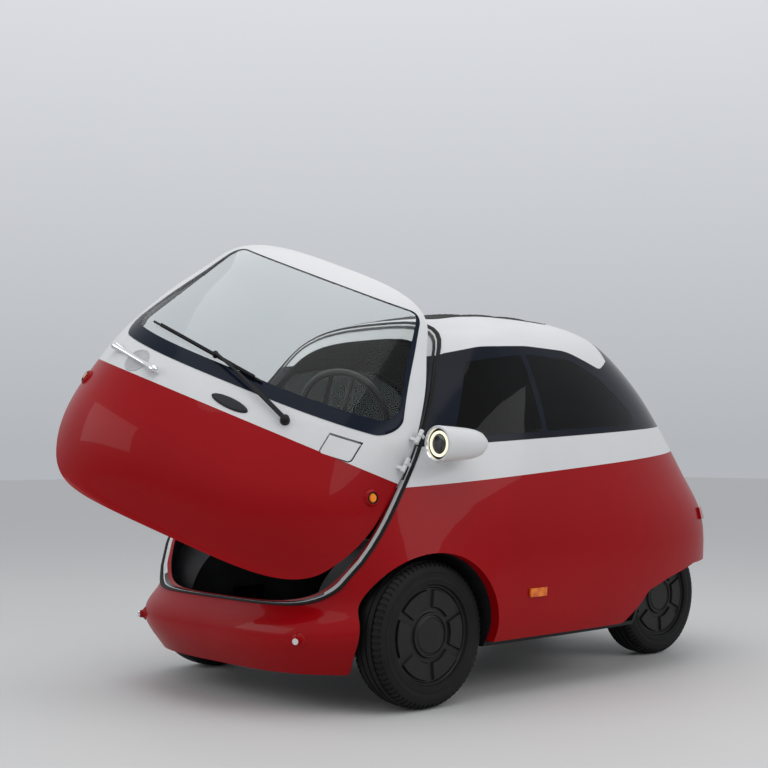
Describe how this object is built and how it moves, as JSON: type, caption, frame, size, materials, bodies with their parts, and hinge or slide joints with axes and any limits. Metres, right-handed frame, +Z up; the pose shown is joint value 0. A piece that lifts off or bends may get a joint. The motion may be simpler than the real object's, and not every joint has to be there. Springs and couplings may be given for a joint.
{
  "type": "front-door bubble microcar",
  "caption": "Electric bubble microcar with one front-opening door carrying the windscreen and steering wheel, narrow rear track, bench seat and lamp pods at the sides.",
  "frame": {"origin": "on the ground under the middle of the car's box, with the front door open as it is stored", "axes": "+Z up, +X to the car's left, nose towards -Y"},
  "size_m": [1.647, 2.9135, 1.7021],
  "materials": {
    "paint_red": "glossy deep red body paint",
    "paint_white": "glossy warm white body paint",
    "gloss_black": "glossy black window surround",
    "canvas": "black woven folding roof",
    "clear_glass": "clear windscreen with a black edge",
    "tinted_glass": "dark tinted window glass",
    "black_plastic": "grained black plastic",
    "grey_plastic": "grained grey plastic",
    "seat_cloth": "dark woven upholstery",
    "tyre": "black rubber",
    "wheel_black": "matte black wheel",
    "steel": "black coated steel",
    "aluminium": "cast aluminium",
    "chrome": "polished chrome",
    "lamp": "clear lamp lens with a light ring",
    "amber": "amber lens",
    "red_lens": "red lens"
  },
  "bodies": {
    "body": {"lower_body": "paint_red", "front_apron": "paint_red", "belt": "paint_white", "roof": "paint_white", "sunroof_canvas": "canvas", "window_frame": "gloss_black", "side_glass_left": "tinted_glass", "side_glass_right": "tinted_glass", "floor_pan": "black_plastic", "wheel_housings": "black_plastic", "front_axle": "steel", "rear_axle": "steel", "drive_motor": "aluminium", "battery_pack": "steel", "seat_cushion": "seat_cloth", "seat_back": "seat_cloth", "mirror_pods": "paint_white", "headlamps": "lamp", "side_markers": "amber", "tail_lamps": "red_lens", "apron_buttons": "chrome", "hinge_brackets": "paint_white"},
    "tailgate": {"tailgate_lower": "paint_red", "tailgate_band": "paint_white", "tailgate_frame": "gloss_black", "rear_glass": "tinted_glass", "tailgate_hinges": "black_plastic"},
    "front_door": {"door_lower": "paint_red", "door_upper": "paint_white", "windscreen": "clear_glass", "hinge_leaves": "paint_white", "dash_panel": "grey_plastic", "steering_column": "black_plastic", "door_handle": "chrome", "indicators": "amber"},
    "service_flap": {"service_flap": "paint_white"},
    "steering_wheel": {"steering_wheel": "black_plastic"},
    "knuckle_left": {"knuckle_left": "aluminium"},
    "knuckle_right": {"knuckle_right": "aluminium"},
    "wheel_front_left": {"tyre_front_left": "tyre", "rim_front_left": "wheel_black"},
    "wheel_front_right": {"tyre_front_right": "tyre", "rim_front_right": "wheel_black"},
    "wheel_rear_left": {"tyre_rear_left": "tyre", "rim_rear_left": "wheel_black"},
    "wheel_rear_right": {"tyre_rear_right": "tyre", "rim_rear_right": "wheel_black"}
  },
  "joints": [
    {"name": "front_door_hinge", "type": "hinge", "parent": "body", "child": "front_door", "pos_m": [0.63, -0.594, 0.9], "axis": [-0.0781, 0.5987, 0.7972], "range_deg": [-35.9, 20]},
    {"name": "tailgate_hinge", "type": "hinge", "parent": "body", "child": "tailgate", "pos_m": [0, 0.5775, 1.43711], "axis": [1, 0, 0], "range_deg": [0, 70]},
    {"name": "service_flap_hinge", "type": "hinge", "parent": "front_door", "child": "service_flap", "pos_m": [0.55626, -0.8393, 0.93498], "axis": [-0.4411, -0.8513, 0.2843], "range_deg": [0, 70]},
    {"name": "steering_wheel_turn", "type": "hinge", "parent": "front_door", "child": "steering_wheel", "pos_m": [0.15696, -0.51066, 1.02258], "axis": [-0.3801, 0.8851, 0.2687], "range_deg": [-360, 360]},
    {"name": "steer_left", "type": "hinge", "parent": "body", "child": "knuckle_left", "pos_m": [0.588, -0.56, 0.26], "axis": [0, 0, 1], "range_deg": [-30, 30]},
    {"name": "steer_right", "type": "hinge", "parent": "body", "child": "knuckle_right", "pos_m": [-0.588, -0.56, 0.26], "axis": [0, 0, 1], "range_deg": [-30, 30]},
    {"name": "spin_front_left", "type": "hinge", "parent": "knuckle_left", "child": "wheel_front_left", "pos_m": [0.625, -0.56, 0.26], "axis": [1, 0, 0], "continuous": true},
    {"name": "spin_front_right", "type": "hinge", "parent": "knuckle_right", "child": "wheel_front_right", "pos_m": [-0.625, -0.56, 0.26], "axis": [1, 0, 0], "continuous": true},
    {"name": "spin_rear_left", "type": "hinge", "parent": "body", "child": "wheel_rear_left", "pos_m": [0.397, 1.059, 0.26], "axis": [1, 0, 0], "continuous": true},
    {"name": "spin_rear_right", "type": "hinge", "parent": "body", "child": "wheel_rear_right", "pos_m": [-0.397, 1.059, 0.26], "axis": [1, 0, 0], "continuous": true}
  ],
  "couplings": [
    {"joint": "steer_right", "follows": "steer_left", "ratio": 1},
    {"joint": "steering_wheel_turn", "follows": "steer_left", "ratio": 12}
  ]
}
